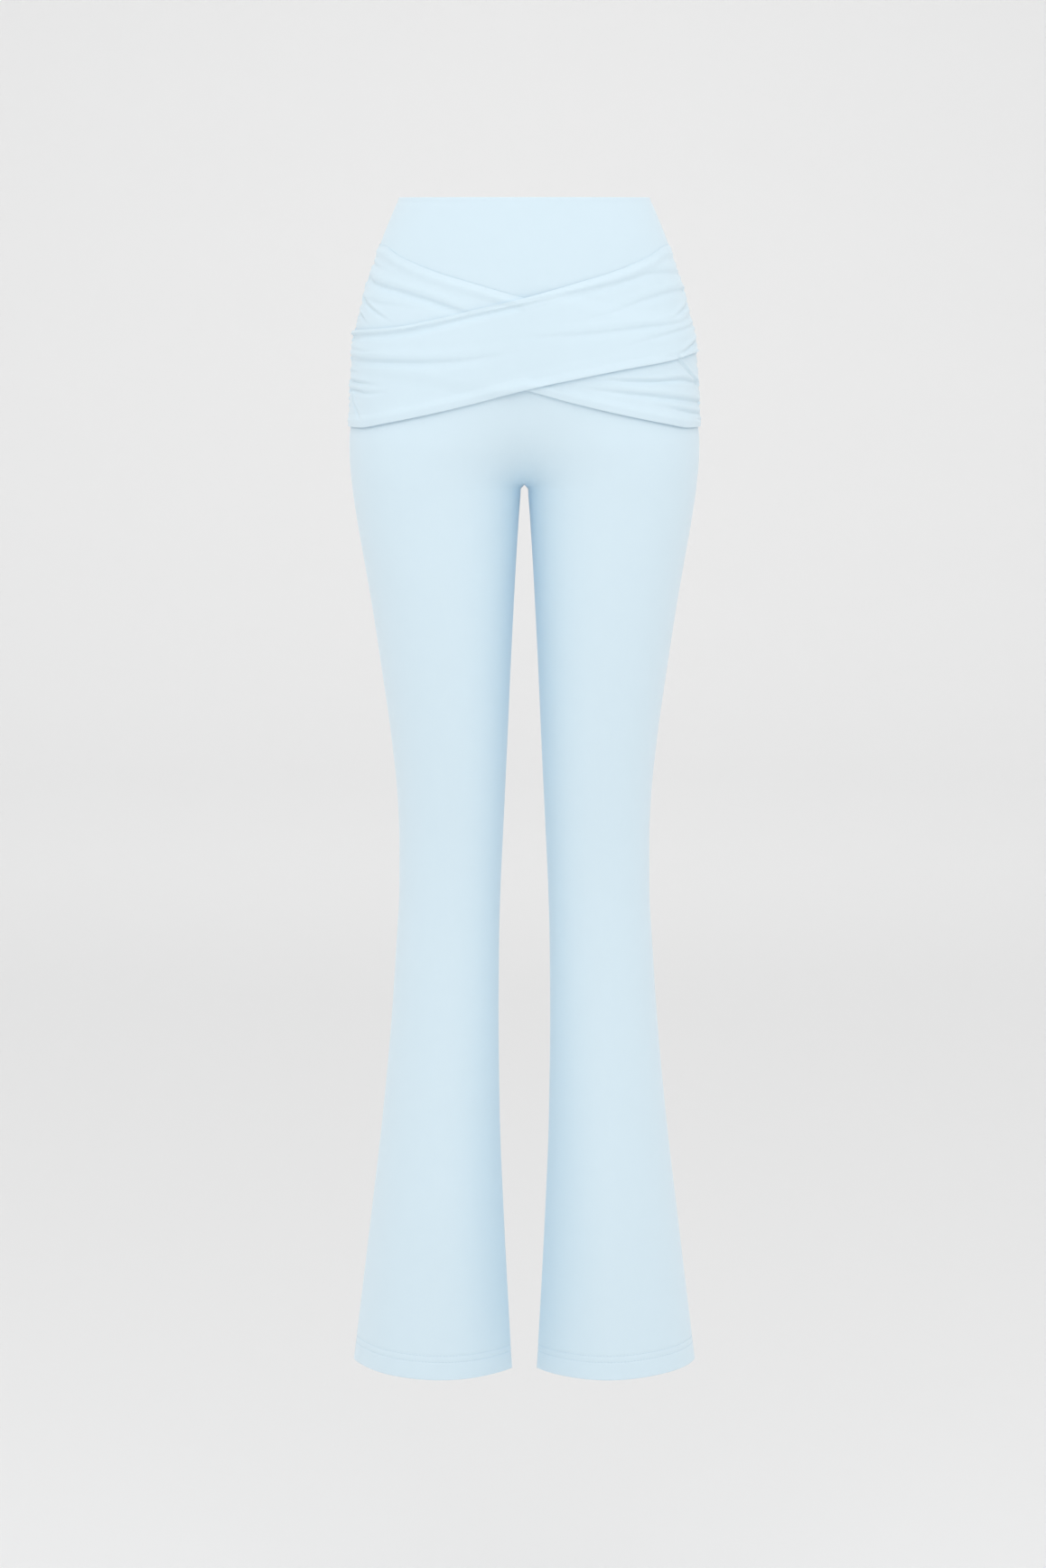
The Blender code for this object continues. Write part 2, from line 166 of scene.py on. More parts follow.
# %% [markdown]
# ## The form that the cloth follows
#
# A pattern cutter thinks in girths at heights. So does this table: each row is one level section through
# the worn leggings, as half widths and half depths in metres, with its drop below the waist edge. Above the
# crotch a section is two joined ovals that slowly part, and below it each leg is one oval.

# %% Sections of the worn form
CROTCH = 0.267  # a drop below the waist edge, as every height of the cloth here
ARCH_HALF_WIDTH = 0.0034  # of the gap between the legs, just under the crotch
ARCH_HEIGHT, ARCH_POWER = 0.0050, 1.5  # of the round top of that gap
PARTING_START = 0.060  # the torso begins to part into two legs here
FRONT, BACK = -1, 1
LEFT, RIGHT = 1, -1  # the wearer's
SEAM_POWER = {FRONT: 3, BACK: 4}  # how long the middle keeps its depth before it turns under
HEM_OUTER = 1.093  # drop of the hem at the side seam
HANG_START = 0.640  # from here down the flare hangs flatter towards its seams
SIDE_SEAM_HANG, INSEAM_HANG = 0.35, 0.90  # how much flatter at the hem, which turns its ovals into lenses

Section = namedtuple("Section", "drop outer inner front back")
SECTIONS = [
    Section(0.000, 0.1160, 0.0000, 0.087, 0.091),
    Section(0.043, 0.1334, 0.0000, 0.093, 0.103),
    Section(0.080, 0.1442, 0.0000, 0.097, 0.114),
    Section(0.130, 0.1560, 0.0000, 0.101, 0.123),
    Section(0.170, 0.1597, 0.0000, 0.102, 0.128),
    Section(0.207, 0.1612, 0.0000, 0.102, 0.129),
    Section(0.226, 0.1628, 0.0000, 0.102, 0.128),
    Section(0.240, 0.1626, ARCH_HALF_WIDTH, 0.101, 0.126),
    Section(CROTCH, 0.1604, ARCH_HALF_WIDTH, 0.099, 0.120),
    Section(0.300, 0.1557, 0.0054, 0.097, 0.111),
    Section(0.340, 0.1488, 0.0079, 0.095, 0.103),
    Section(0.380, 0.1420, 0.0100, 0.092, 0.096),
    Section(0.440, 0.1330, 0.0130, 0.086, 0.086),
    Section(0.500, 0.1246, 0.0156, 0.079, 0.078),
    Section(0.560, 0.1186, 0.0184, 0.071, 0.069),
    Section(0.600, 0.1171, 0.0203, 0.066, 0.063),
    Section(0.646, 0.1173, 0.0224, 0.063, 0.059),
    Section(0.694, 0.1199, 0.0237, 0.062, 0.060),
    Section(0.765, 0.1246, 0.0242, 0.063, 0.065),
    Section(0.862, 0.1336, 0.0230, 0.068, 0.073),
    Section(0.951, 0.1440, 0.0195, 0.075, 0.080),
    Section(1.093, 0.1612, 0.0120, 0.081, 0.085),
    Section(1.105, 0.1627, 0.0113, 0.082, 0.086),
]


def smooth_step(low, high, value):
    """0 at low and 1 at high, or the other way round where high is the smaller."""
    share = np.clip((value - low) / (high - low), 0.0, 1.0)
    return share * share * (3 - 2 * share)


def read_between(rows, key, column, value):
    """A column of a table at any values of its key, on a smooth curve that never swings past its rows."""
    keys = np.array([getattr(row, key) for row in rows])
    numbers = np.array([getattr(row, column) for row in rows])
    value = np.clip(value, keys[0], keys[-1])
    steps, rises = np.diff(keys), np.diff(numbers)
    slopes = rises / steps
    before, after = slopes[:-1], slopes[1:]
    alike = before * after > 0
    middle = np.where(alike, 2 * before * after / np.where(alike, before + after, 1.0), 0.0)
    tangents = np.concatenate([slopes[:1], middle, slopes[-1:]])
    i = np.clip(np.searchsorted(keys, value, side="left") - 1, 0, len(steps) - 1)
    t = (value - keys[i]) / steps[i]
    start, end = tangents[i] * steps[i], tangents[i + 1] * steps[i]
    bend = t**2 * (3 * rises[i] - 2 * start - end) + t**3 * (start + end - 2 * rises[i])
    return numbers[i] + t * start + bend


print(f"form: {len(SECTIONS)} sections over {SECTIONS[-1].drop} m")

# %% [markdown]
# Cloth pieces will ask for thousands of places on this form, so it is worked out once, on a fine net of
# drops and of shares of the way round, and read from there. The net is closest just above the crotch, where
# the front and the back turn under in a small arch.

# %% A fine net on the form
NET_ABOVE, NET_BELOW, NET_ROUND = 260, 460, 181
NET_END = SECTIONS[-1].drop
above_crotch = CROTCH * (1 - (1 - np.arange(NET_ABOVE) / NET_ABOVE) ** 2)
NET_DROPS = np.concatenate([above_crotch, np.linspace(CROTCH, NET_END, NET_BELOW)])
FORM_ROUND = 0.45  # a typical way round half the form, in metres, for slopes on the cloth
SEAM_GAP = 0.0003  # between pieces that are sewn together


def net_points(half):
    """(points, lengths): the form's face from the left side seam to the middle or inseam, at equal steps."""
    drop = NET_DROPS[:, None]
    outer = read_between(SECTIONS, "drop", "outer", drop)
    inner = read_between(SECTIONS, "drop", "inner", drop)
    depth = read_between(SECTIONS, "drop", "front" if half == FRONT else "back", drop)
    above = drop < CROTCH
    share = np.clip((drop - PARTING_START) / (CROTCH - PARTING_START), 0.0, 1.0)
    widest = read_between(SECTIONS, "drop", "outer", np.array(CROTCH))
    parted = (widest + ARCH_HALF_WIDTH) / (widest - ARCH_HALF_WIDTH)
    parting = parted * smooth_step(0.0, 1.0, share)
    radius = np.where(above, outer / (1 + parting), (outer - inner) / 2)
    centre = np.where(above, parting * radius, (outer + inner) / 2)
    arch = np.clip(1 - (drop - CROTCH) / ARCH_HEIGHT, 0.0, 1.0) ** ARCH_POWER
    span = np.where(above, radius * (parting - share ** SEAM_POWER[half]), ARCH_HALF_WIDTH * arch)
    last_turn = np.arccos(np.clip((span - centre) / radius, -1.0, 1.0))
    turn = last_turn * (1 - np.cos(np.linspace(0, np.pi, NET_ROUND))) / 2
    out = centre + radius * np.cos(turn)
    x = np.sqrt(np.maximum(out**2 - span**2, 0.0) / (1 - (span / outer) ** 2))
    hang = smooth_step(HANG_START, HEM_OUTER, drop)
    power = 1 + hang * (SIDE_SEAM_HANG + (INSEAM_HANG - SIDE_SEAM_HANG) * turn / np.pi)
    points = np.stack([x, half * depth * np.maximum(np.sin(turn), 0) ** power, -drop + 0 * x], axis=-1)
    steps = np.linalg.norm(np.diff(points, axis=1), axis=2)
    along = np.concatenate([np.zeros((len(points), 1)), np.cumsum(steps, axis=1)], axis=1)
    even = np.linspace(0.0, 1.0, NET_ROUND)
    for row, lengths in enumerate(along):
        at = even * lengths[-1]
        points[row] = np.stack([np.interp(at, lengths, points[row, :, k]) for k in range(3)], axis=1)
    return points, along[:, -1]


def net_normals(half, points):
    """The face's outward direction at each point of the net."""
    across = np.gradient(points, axis=1)
    down = np.gradient(points, NET_DROPS, axis=0)
    normals = np.cross(across, down) * -half
    return normals / np.linalg.norm(normals, axis=2, keepdims=True)


NET, NET_LENGTH, NET_NORMAL = {}, {}, {}
for half in (FRONT, BACK):
    NET[half], NET_LENGTH[half] = net_points(half)
    NET_NORMAL[half] = net_normals(half, NET[half])


def read_net(table, share, drop):
    """What a table of the net holds at any shares and drops, blended from its four nearest places."""
    row = np.clip(np.searchsorted(NET_DROPS, drop, side="right") - 1, 0, len(NET_DROPS) - 2)
    down = ((drop - NET_DROPS[row]) / (NET_DROPS[row + 1] - NET_DROPS[row]))[..., None]
    place = np.clip(share, 0.0, 1.0) * (NET_ROUND - 1)
    column = np.clip(place.astype(int), 0, NET_ROUND - 2)
    along = (place - column)[..., None]
    upper = table[row, column] * (1 - along) + table[row, column + 1] * along
    lower = table[row + 1, column] * (1 - along) + table[row + 1, column + 1] * along
    return upper * (1 - down) + lower * down


def on_form(half, side, share, drop, out):
    """Places on the form, moved out from its face. share runs from the side seam to the middle or inseam."""
    share, drop, out = np.broadcast_arrays(share, drop, out)
    normal = read_net(NET_NORMAL[half], share, drop)
    normal /= np.linalg.norm(normal, axis=-1, keepdims=True)
    placed = read_net(NET[half], share, drop) + normal * out[..., None]
    placed[..., 1] = half * np.maximum(half * placed[..., 1], SEAM_GAP / 2)
    placed[..., 0] *= side
    return placed


def around_form(half, turn, drop, out):
    """The same across the whole front or back. turn is 0 at the wearer's left side seam, 1 at the right."""
    side = np.where(turn <= 0.5, LEFT, RIGHT)
    return on_form(half, side, 1 - np.abs(2 * turn - 1), drop, out)


def half_length(half, drop):
    """The way from the side seam to the middle or the inseam, in metres."""
    return np.interp(drop, NET_DROPS, NET_LENGTH[half])


for name, drop in (("waist", 0.0), ("hips", 0.21), ("knee", 0.62), ("hem", 1.09)):
    sides = 1 if drop > CROTCH else 2
    print(f"{name}: {sides * (half_length(FRONT, drop) + half_length(BACK, drop)):.3f} m round")

# %% [markdown]
# ## Jersey
#
# Under a lens jersey is rows of tiny loops that lock in columns, called wales. Close up they give the cloth
# its tooth, and from a step away only a soft bloom is left. The loops are a bump that follows each piece's
# own UV map, which is in metres of cloth. The bloom is the shader's sheen, and a slow, faint unevenness in
# colour and roughness keeps a wide plain panel from looking like plastic. Both cloths here use the same
# node group, with their own values.

# %% The knit, as a shared node group
WALE, COURSE = 0.0009, 0.0007  # the width and the height of one loop


def group_socket(tree, name, direction, kind="NodeSocketFloat"):
    return tree.interface.new_socket(name=name, in_out=direction, socket_type=kind)


def add_math(tree, operation, first, second=None):
    """A Math node. Each input is a socket or a number. Returns its output socket."""
    node = tree.nodes.new("ShaderNodeMath")
    node.operation = operation
    for socket, value in zip(node.inputs, (first, second)):
        if isinstance(value, (int, float)):
            socket.default_value = value
        elif value is not None:
            tree.links.new(value, socket)
    return node.outputs[0]


def make_knit_group():
    """Height of the loops, and a slow mottle, from UV places in metres."""
    tree = bpy.data.node_groups.new("jersey_knit", "ShaderNodeTree")
    group_socket(tree, "Cloth", "INPUT", "NodeSocketVector")
    group_socket(tree, "Wale", "INPUT")
    group_socket(tree, "Course", "INPUT")
    group_socket(tree, "Loops", "OUTPUT")
    group_socket(tree, "Mottle", "OUTPUT")
    inside = tree.nodes.new("NodeGroupInput")
    outside = tree.nodes.new("NodeGroupOutput")
    parts = tree.nodes.new("ShaderNodeSeparateXYZ")
    tree.links.new(inside.outputs["Cloth"], parts.inputs[0])
    across = add_math(tree, "DIVIDE", parts.outputs["X"], inside.outputs["Wale"])
    down = add_math(tree, "DIVIDE", parts.outputs["Y"], inside.outputs["Course"])
    lean = add_math(tree, "PINGPONG", across, 0.5)  # each loop is a V, so its legs lean
    step = add_math(tree, "ADD", down, lean)
    rows = add_math(tree, "SINE", add_math(tree, "MULTIPLY", step, math.tau))
    wales = add_math(tree, "ABSOLUTE", add_math(tree, "SINE", add_math(tree, "MULTIPLY", across, math.pi)))
    loops = add_math(tree, "MULTIPLY", wales, add_math(tree, "MULTIPLY_ADD", rows, 0.25))
    tree.links.new(loops, outside.inputs["Loops"])
    noise = tree.nodes.new("ShaderNodeTexNoise")
    noise.inputs["Scale"].default_value = 60.0
    noise.inputs["Detail"].default_value = 3.0
    tree.links.new(inside.outputs["Cloth"], noise.inputs["Vector"])
    tree.links.new(noise.outputs["Fac"], outside.inputs["Mottle"])
    return tree


knit = make_knit_group()
print("knit: loops of", WALE * 1000, "by", COURSE * 1000, "mm")

# %% Cloth materials
ICE_BLUE = (0.705, 0.845, 0.925)
HOLLOW_BLUE = (0.690, 0.832, 0.915)  # where the mottle is deepest
THREAD_BLUE = (0.62, 0.77, 0.87)


def jersey_material(name, colour, deeper):
    """Smooth matt jersey with a faint bloom. deeper is the colour in the hollows of its mottle."""
    material = plain_material(name, colour, 0.72)
    tree = material.node_tree
    shader = tree.nodes["Principled BSDF"]
    shader.inputs["Sheen Weight"].default_value = 0.38
    shader.inputs["Sheen Roughness"].default_value = 0.45
    shader.inputs["Sheen Tint"].default_value = (1.0, 1.0, 1.0, 1)
    shader.inputs["Specular IOR Level"].default_value = 0.25
    cloth = tree.nodes.new("ShaderNodeUVMap")
    cloth.uv_map = "cloth"
    loops = tree.nodes.new("ShaderNodeGroup")
    loops.node_tree = knit
    loops.inputs["Wale"].default_value = WALE
    loops.inputs["Course"].default_value = COURSE
    tree.links.new(cloth.outputs["UV"], loops.inputs["Cloth"])
    tone = tree.nodes.new("ShaderNodeMix")
    tone.data_type = "RGBA"  # its inputs 6 and 7 and its output 2 are then the colours
    tone.inputs[6].default_value = (*deeper, 1)
    tone.inputs[7].default_value = (*colour, 1)
    tree.links.new(loops.outputs["Mottle"], tone.inputs["Factor"])
    tree.links.new(tone.outputs[2], shader.inputs["Base Color"])
    rough = tree.nodes.new("ShaderNodeMapRange")
    rough.inputs["To Min"].default_value = 0.66
    rough.inputs["To Max"].default_value = 0.80
    tree.links.new(loops.outputs["Mottle"], rough.inputs["Value"])
    tree.links.new(rough.outputs["Result"], shader.inputs["Roughness"])
    bump = tree.nodes.new("ShaderNodeBump")
    bump.inputs["Strength"].default_value = 0.35
    bump.inputs["Distance"].default_value = 0.0001
    tree.links.new(loops.outputs["Loops"], bump.inputs["Height"])
    tree.links.new(bump.outputs["Normal"], shader.inputs["Normal"])
    return material


leggings_jersey = jersey_material("leggings_jersey", ICE_BLUE, HOLLOW_BLUE)
overskirt_jersey = jersey_material("overskirt_jersey", ICE_BLUE, HOLLOW_BLUE)
thread = plain_material("stitching_thread", THREAD_BLUE, 0.5)
print("materials: two jerseys and the sewing thread")

# %% [markdown]
# ## A wall of cloth
#
# Each panel is a thin wall with soft, rounded edges, as a turned or sewn edge is. Two grids, an outer and an
# inner one, are laid on the form. Towards every edge the two draw together along a quarter circle until they
# meet, and merging the points that they share there closes the wall. A Solidify modifier would leave square
# rims, and these edges are what shows: the bands' hems are the sharpest lines of the whole garment.

# %% Making a wall
RIM_STEPS = 4  # in the quarter circle of a rim
RIM_MERGE = 2e-6  # the two faces of a wall meet within this


def edge_spaced(count, length, radius):
    """count + 1 distances from 0 to length, close together in a rounded rim at each end."""
    rim = radius * (1 - np.cos(np.linspace(0, np.pi / 2, RIM_STEPS + 1)))[:-1]
    length = np.asarray(length, float)[..., None]
    even = radius + (length - 2 * radius) * np.linspace(0, 1, count - 2 * RIM_STEPS + 1)
    start = np.broadcast_to(rim, length.shape[:-1] + rim.shape)
    return np.concatenate([start, even, (length - start)[..., ::-1]], axis=-1)


def roundness(distance, radius):
    """How much of its thickness a wall has at a distance from its edge."""
    return np.sqrt(np.maximum(1 - (1 - np.clip(distance / radius, 0, 1)) ** 2, 0.0))


def finish_piece(sheet, name, material):
    """Turns a bmesh into a named object that rides on the garment's one body."""
    mesh = bpy.data.meshes.new(name)
    sheet.to_mesh(mesh)
    sheet.free()
    mesh.shade_smooth()
    mesh.materials.append(material)
    piece = bpy.data.objects.new(name, mesh)
    bpy.context.scene.collection.objects.link(piece)
    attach(piece, "root")
    return piece


def cloth_grid(sheet, rows, columns):
    """Two flat unit grids, one for each face of the cloth: {vertex: (row, column)} for each."""
    bmesh.ops.create_grid(sheet, x_segments=columns, y_segments=rows, size=0.5)
    outer = list(sheet.verts)
    copied = bmesh.ops.duplicate(sheet, geom=sheet.verts[:] + sheet.edges[:] + sheet.faces[:])["geom"]
    inner = [item for item in copied if isinstance(item, bmesh.types.BMVert)]
    bmesh.ops.reverse_faces(sheet, faces=[item for item in copied if isinstance(item, bmesh.types.BMFace)])

    def where(verts):
        return {v: (round((0.5 - v.co.y) * rows), round((v.co.x + 0.5) * columns)) for v in verts}

    return where(outer), where(inner)


def close_wall(sheet):
    """Merges the two faces along their rims, turns them outwards, and counts the edges that stay open."""
    rim = [vert for vert in sheet.verts if vert.is_boundary]
    bmesh.ops.remove_doubles(sheet, verts=rim, dist=RIM_MERGE)
    if sheet.calc_volume(signed=True) < 0:
        bmesh.ops.reverse_faces(sheet, faces=sheet.faces)
    return sum(edge.is_boundary for edge in sheet.edges)


def finish_wall(sheet, name, material):
    """Closes a wall, makes it a piece, and prints what it measures."""
    open_edges = close_wall(sheet)
    area = sum(face.calc_area() for face in sheet.faces) / 2
    piece = finish_piece(sheet, name, material)
    print(f"{name}: {len(piece.data.polygons)} faces, {area:.3f} square metres, {open_edges} open edges")
    return piece


def make_wall(name, outer, inner, cloth, material):
    """A wall between two grids of points. cloth gives each point's place on the flat cloth, in metres."""
    rows, columns = outer.shape[0] - 1, outer.shape[1] - 1
    sheet = bmesh.new()
    uv = sheet.loops.layers.uv.new("cloth")
    for places, verts in zip((outer, inner), cloth_grid(sheet, rows, columns)):
        for vert, at in verts.items():
            for loop in vert.link_loops:
                loop[uv].uv = cloth[at]
            vert.co = places[at]
    return finish_wall(sheet, name, material)


def wall_faces(place, lift, thickness, rim, radius):
    """(outer, inner) grids of a wall: place(out) gives the points at a distance out from the form."""
    middle, half_wall = lift + thickness / 2, thickness / 2 * roundness(rim, radius)
    return place(middle + half_wall), place(middle - half_wall)


# %% [markdown]
# ## The waistband
#
# The waistband is one wide strip, folded double with the fold at the waist edge, so it has no stitching
# there. Its lower seam is a shallow V in front, hidden under the top edges of the two crossed bands.

# %% Waistband
BandEdge = namedtuple("BandEdge", "along top bottom")
BAND_EDGES = [
    BandEdge(0.00, 0.0435, 0.1430),
    BandEdge(0.08, 0.0455, 0.1450),
    BandEdge(0.16, 0.0545, 0.1500),
    BandEdge(0.28, 0.0685, 0.1572),
    BandEdge(0.38, 0.0790, 0.1650),
    BandEdge(0.50, 0.0920, 0.1755),
    BandEdge(0.61, 0.1025, 0.1885),
    BandEdge(0.72, 0.1137, 0.2003),
    BandEdge(0.80, 0.1195, 0.2072),
    BandEdge(0.88, 0.1218, 0.2120),
    BandEdge(1.00, 0.1240, 0.2125),
]
BACK_EDGES = [
    BandEdge(0.00, 0.0435, 0.2125),
    BandEdge(0.25, 0.0510, 0.2170),
    BandEdge(0.50, 0.0550, 0.2200),
    BandEdge(0.75, 0.0510, 0.2170),
    BandEdge(1.00, 0.0435, 0.2125),
]
TOP_LAP = 0.004  # the overskirt covers the waistband's seam by this much
WAISTBAND_WALL = 0.0024
WAISTBAND_COLUMNS, WAISTBAND_ROWS = 150, 40
RIM = 0.0009  # radius of a soft cloth edge
WAISTBAND_GIRTH_DROP = 0.03  # its length is taken at this drop
FOLD_DROP, FOLD_DEPTH, FOLD_WIDTH = 0.0048, 0.0004, 0.0012  # the line that was pressed in beside the fold


def seam_drop(half, turn):
    """Where the waistband is sewn to the legs."""
    if half == BACK:
        return read_between(BACK_EDGES, "along", "top", turn) + TOP_LAP
    return read_between(BAND_EDGES, "along", "top", np.minimum(turn, 1 - turn)) + TOP_LAP


def make_waistband(half, name):
    length = 2 * half_length(half, WAISTBAND_GIRTH_DROP)
    across = edge_spaced(WAISTBAND_COLUMNS, length, RIM)
    turn = (across / length)[None, :]
    bottom = seam_drop(half, turn[0])
    drop = edge_spaced(WAISTBAND_ROWS, bottom, RIM).T
    rim = np.minimum(np.minimum(across, length - across)[None, :], np.minimum(drop, bottom - drop))
    turn = np.broadcast_to(turn, drop.shape)
    fold_line = -FOLD_DEPTH * np.exp(-(((drop - FOLD_DROP) / FOLD_WIDTH) ** 2))
    outer, inner = wall_faces(
        lambda out: around_form(half, turn, drop, out), -WAISTBAND_WALL + fold_line, WAISTBAND_WALL, rim, RIM
    )
    cloth = np.stack([np.broadcast_to(across, drop.shape), -drop], axis=-1)
    return make_wall(name, outer, inner, cloth, leggings_jersey)


for half, half_name, flat, area in (
    (FRONT, "front", (0.33, 0.095), 0.022),
    (BACK, "back", (0.33, 0.06), 0.018),
):
    waistband = make_waistband(half, f"{half_name}_waistband")
    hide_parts(f"waistband_{half_name}")

# %% [markdown]
# ## What the overskirt presses in
#
# Gathered cloth lies thick on the hips, yet the real garment hardly bulges there, because the jersey beneath
# gives way. So the legs' cloth is sunk a little where the overskirt covers it. That leaves the creases of the
# overskirt room to dip, and keeps its outline slim.

# %% Cloth that is covered
SINK = 0.0018
SINK_FROM, SINK_TO = 0.005, 0.013  # inside the overskirt's edges
LAID_GAP = 0.00015  # between layers that lie on each other


def inset(edges, along, drop):
    """How far inside a piece's top and bottom edges a place is. Outside of them it is negative."""
    top = read_between(edges, "along", "top", along)
    bottom = read_between(edges, "along", "bottom", along)
    return np.minimum(drop - top, bottom - drop)


def covered(half, turn, drop):
    """1 well under the overskirt, 0 beside it."""
    if half == BACK:
        return smooth_step(SINK_FROM, SINK_TO, inset(BACK_EDGES, turn, drop))
    over, under = inset(BAND_EDGES, turn, drop), inset(BAND_EDGES, 1 - turn, drop)
    return smooth_step(SINK_FROM, SINK_TO, np.maximum(over, under))


# %% [markdown]
# ## The legs
#
# The front is cut in one piece with no seam down its middle, and the back in two. A front panel is a grid
# that reaches from side seam to side seam, slit from the crotch down, so that each half can close round its
# own leg. Each leg is smooth at the thigh and grows soft flutes as it widens into the flare.

# %% Legs
HEM_SLANT = 0.009  # the hem is this much lower at the inseam
HEM_DEPTH, HEM_STEP = 0.0195, 0.0015  # the turned hem, and the step at its top
HEM_ZONE = HEM_DEPTH * 1.6  # the rows are close together this far up, for the stitches
FLARE_START = 0.880
JERSEY, HEM_WALL = 0.0012, 0.0024
LEG_RIM = 0.0006
LEG_COLUMNS = 64
TORSO_ROWS, LEG_ROWS, HEM_ROWS = 70, 230, 34
TORSO_CROWDING = 1.6  # the torso's rows draw together towards the crotch
NEEDLE_LINES = (0.0167, 0.0225)  # above the hem's edge
SEWN_DIP, SEWN_WIDTH = 0.00030, 0.0009
FLUTES_START, FLUTES_FULL = 0.80, 1.10
FLUTE, SMALL_FLUTE = 0.0010, 0.0006


def hem_drop(share):
    return HEM_OUTER + HEM_SLANT * share


def leg_row_spacing():
    """(torso, leg, hem): shares of the way down to the crotch and on to the hem's rows, and their heights."""
    torso = (1 - (1 - np.arange(TORSO_ROWS + 1) / TORSO_ROWS) ** TORSO_CROWDING)[:, None]
    leg = np.linspace(0, 1, LEG_ROWS + 1)[1:, None]
    hem = edge_spaced(HEM_ROWS, HEM_ZONE, LEG_RIM)
    return torso, leg, hem


def flutes(half, side, share, drop):
    """Soft, uneven flutes of the flare, in metres out from the form."""
    grow = smooth_step(FLUTES_START, FLUTES_FULL, drop)
    wave = FLUTE * np.sin(math.tau * (1.55 * share + 0.10 * side + 0.18 * half) + 0.6 * np.sin(3.1 * share))
    wave += SMALL_FLUTE * np.sin(math.tau * (2.7 * share + 0.37 * half) + side)
    ends = np.sin(np.pi * np.clip(share, 0, 1)) ** 0.7
    return grow * wave * ends


def leg_lift(half, side, share, drop, to_hem):
    """(lift, thickness) of a leg's wall, doubled in the turned hem and dipped where it is stitched."""
    thickness = JERSEY + (HEM_WALL - JERSEY) * smooth_step(HEM_DEPTH + HEM_STEP, HEM_DEPTH, to_hem)
    dip = sum(np.exp(-(((to_hem - line) / SEWN_WIDTH) ** 2)) for line in NEEDLE_LINES)
    turn = share / 2 if side == LEFT else 1 - share / 2
    sunk = SINK * covered(half, turn, drop)
    return flutes(half, side, share, drop) - thickness - SEWN_DIP * dip - sunk, thickness


def leg_grid(half, side):
    """(outer, inner, cloth, fork) of one panel, from the side seam to the middle and the inseam."""
    share0 = np.linspace(0, 1, LEG_COLUMNS + 1)
    turn = share0 / 2 if side == LEFT else 1 - share0 / 2
    top = seam_drop(half, turn) + SEAM_GAP
    torso, leg, hem = leg_row_spacing()
    hem_top = HEM_OUTER - hem[-1]
    drop = np.concatenate([
        top + (CROTCH - top) * torso,
        CROTCH + (hem_top - CROTCH) * leg + 0 * share0,
        np.broadcast_to((HEM_OUTER - hem[::-1])[1:, None], (len(hem) - 1, len(share0))),
    ])
    length = half_length(half, drop.mean(axis=1))
    across = edge_spaced(LEG_COLUMNS, length, LEG_RIM)
    share = across / length[:, None]
    drop = drop + HEM_SLANT * share * smooth_step(FLARE_START, HEM_OUTER, drop)
    to_hem = hem_drop(share) - drop
    fork = TORSO_ROWS - 1
    to_slit = np.hypot(length[:, None] - across, np.maximum(drop[fork, -1] - drop, 0))
    to_slit[:fork] = np.hypot((length[:, None] - across)[:fork], (drop[fork, -1] - drop[:fork]))
    rim = np.minimum(np.minimum(across, to_slit), np.minimum(drop - drop[:1], to_hem))
    if half == BACK:
        rim = np.minimum(rim, length[:, None] - across)
    lift, thickness = leg_lift(half, side, share, drop, to_hem)
    outer, inner = wall_faces(
        lambda out: on_form(half, side, share, drop, out), lift, thickness, np.maximum(rim, 0), LEG_RIM
    )
    for places in (outer, inner):
        places[: fork + 1, -1, 0] = side * SEAM_GAP / 2 if half == BACK else 0.0
        places[..., 0] = side * np.maximum(side * places[..., 0], 0.0 if half == FRONT else SEAM_GAP / 2)
    cloth = np.stack([side * across, -drop], axis=-1)
    return outer, inner, cloth, fork


# %% [markdown]
# The front starts as one flat grid, because a slit is easier to cut there than in the finished form. The
# edges down its middle are split below the crotch. Splitting makes new points, so each point keeps its face,
# row, column and leg as numbers on the mesh, and by them it then finds its place on that leg.

# %% The front panel, in one piece
def make_front():
    """The one-piece front: two mirrored grids that are one above the crotch and slit below it."""
    grids = {side: leg_grid(FRONT, side) for side in (LEFT, RIGHT)}
    fork = grids[LEFT][3]
    rows = grids[LEFT][0].shape[0] - 1
    sheet = bmesh.new()
    uv = sheet.loops.layers.uv.new("cloth")
    marks = {key: sheet.verts.layers.int.new(key) for key in ("face", "row", "column", "is_left")}
    faces_of = cloth_grid(sheet, rows, 2 * LEG_COLUMNS)
    for face, places in enumerate(faces_of):
        for vert, (row, column) in places.items():
            vert[marks["face"]], vert[marks["row"]], vert[marks["column"]] = face, row, column
    on_slit = {
        vert for places in faces_of for vert, (row, column) in places.items()
        if column == LEG_COLUMNS and row >= fork
    }
    slit = [edge for edge in sheet.edges if all(vert in on_slit for vert in edge.verts)]
    bmesh.ops.split_edges(sheet, edges=slit)
    for vert in sheet.verts:
        column = vert[marks["column"]]
        centre = sum(face.calc_center_median().x for face in vert.link_faces)
        vert[marks["is_left"]] = column < LEG_COLUMNS or (column == LEG_COLUMNS and centre < 0)
    for vert in sheet.verts:
        face, row, column, is_left = (vert[mark] for mark in marks.values())
        grid = grids[LEFT if is_left else RIGHT]
        at = (row, column if is_left else 2 * LEG_COLUMNS - column)
        for loop in vert.link_loops:
            loop[uv].uv = grid[2][at]
        vert.co = grid[face][at]
    return finish_wall(sheet, "front_panel", leggings_jersey)


front_panel = make_front()
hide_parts("leg_front_left", "leg_front_right")
for side, side_name in ((LEFT, "left"), (RIGHT, "right")):
    outer, inner, cloth, _ = leg_grid(BACK, side)
    panel = make_wall(f"back_panel_{side_name}", outer, inner, cloth, leggings_jersey)
    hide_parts(f"leg_back_{side_name}")

